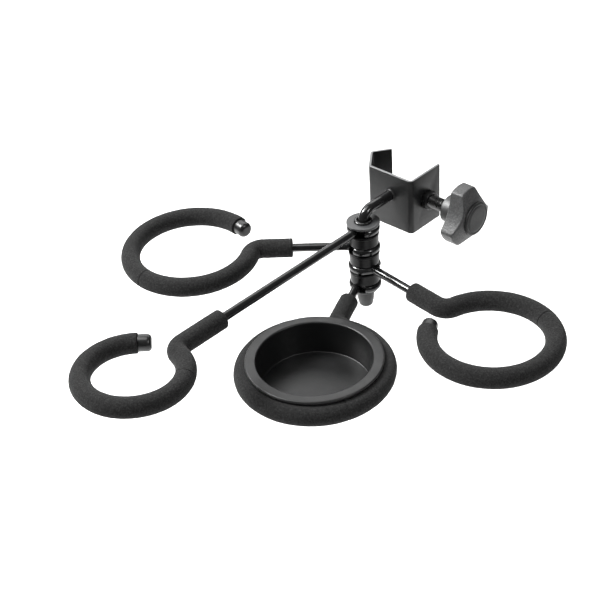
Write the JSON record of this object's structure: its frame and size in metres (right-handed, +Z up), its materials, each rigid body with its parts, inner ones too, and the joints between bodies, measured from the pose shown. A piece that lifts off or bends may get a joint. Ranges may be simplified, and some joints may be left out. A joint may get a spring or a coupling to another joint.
{
  "type": "airbrush holder stand",
  "caption": "Clamp-on holder: bent steel clamp with a knob screw, a pivot shaft with swinging wire arms that end in open foam-covered rings, and a tray.",
  "frame": {"origin": "on the axis of the upright tube that the clamp grips, halfway up the bracket", "axes": "+Z up along the gripped tube and the pivot shaft, +X along the clamp screw towards the knob, pivot shaft on the -Y side of the bracket"},
  "size_m": [0.3347, 0.3426, 0.1019],
  "materials": {
    "coated_steel": "satin black coat",
    "gloss_rod": "gloss black coat",
    "plain_steel": "zinc plated",
    "nickel": "bright plated",
    "knob_plastic": "fine grained, dark grey",
    "pad_rubber": "matte",
    "nylon": "black",
    "spacer_plastic": "satin",
    "cap_plastic": "glossy black",
    "tray_plastic": "satin black",
    "foam": "fine closed-cell foam, matte"
  },
  "bodies": {
    "frame": {"clamp_bracket": "coated_steel", "clamp_weld_nut": "coated_steel", "support_rod": "gloss_rod", "rod_weld": "coated_steel", "stop_washer": "coated_steel", "stop_weld": "coated_steel", "eye_bush_1": "nylon", "eye_bush_2": "nylon", "eye_bush_3": "nylon", "eye_bush_4": "nylon", "spacer_1": "spacer_plastic", "spacer_2": "spacer_plastic", "spacer_3": "spacer_plastic", "thrust_washer": "coated_steel", "spring_washer": "plain_steel", "lock_nut": "plain_steel", "end_cap": "cap_plastic"},
    "arm_1": {"arm_1_wire": "gloss_rod", "arm_1_foam_inner": "foam", "arm_1_foam_outer": "foam", "arm_1_tip_cap": "cap_plastic"},
    "arm_2": {"arm_2_wire": "gloss_rod", "arm_2_foam_inner": "foam", "arm_2_foam_outer": "foam", "arm_2_tip_cap": "cap_plastic"},
    "arm_3": {"arm_3_wire": "gloss_rod", "arm_3_foam_inner": "foam", "arm_3_foam_outer": "foam", "arm_3_tip_cap": "cap_plastic"},
    "arm_4": {"arm_4_wire": "gloss_rod", "arm_4_foam_inner": "foam", "arm_4_foam_outer": "foam", "arm_4_tip_cap": "cap_plastic"},
    "tray": {"tray": "tray_plastic"},
    "clamp_pad": {"clamp_pad": "pad_rubber"},
    "clamp_screw": {"clamp_stud": "plain_steel", "knob_ferrule": "nickel", "clamp_knob": "knob_plastic", "knob_cap": "knob_plastic"}
  },
  "joints": [
    {"name": "arm_1_swing", "type": "hinge", "parent": "frame", "child": "arm_1", "pos_m": [0.0141, -0.0505, -0.0075], "axis": [0, 0, 1], "range_deg": [-130, 100]},
    {"name": "arm_2_swing", "type": "hinge", "parent": "frame", "child": "arm_2", "pos_m": [0.0141, -0.0505, -0.0242], "axis": [0, 0, 1], "range_deg": [-85, 134]},
    {"name": "arm_3_swing", "type": "hinge", "parent": "frame", "child": "arm_3", "pos_m": [0.0141, -0.0505, -0.0409], "axis": [0, 0, 1], "range_deg": [-228, 80]},
    {"name": "arm_4_swing", "type": "hinge", "parent": "frame", "child": "arm_4", "pos_m": [0.0141, -0.0505, -0.0576], "axis": [0, 0, -1], "range_deg": [-148, 165]},
    {"name": "tray_lift", "type": "slide", "parent": "arm_4", "child": "tray", "axis": [0, 0, 1], "range_m": [0, 0.025]},
    {"name": "clamp_travel", "type": "slide", "parent": "frame", "child": "clamp_pad", "axis": [1, 0, 0], "range_m": [-0.00976, 0.00676]},
    {"name": "clamp_turn", "type": "hinge", "parent": "clamp_pad", "child": "clamp_screw", "pos_m": [0.02, 0, 0], "axis": [1, 0, 0], "range_deg": [-2340, 1620]}
  ],
  "couplings": [
    {"joint": "clamp_travel", "follows": "clamp_turn", "m_per_rad": 0.00023873}
  ]
}
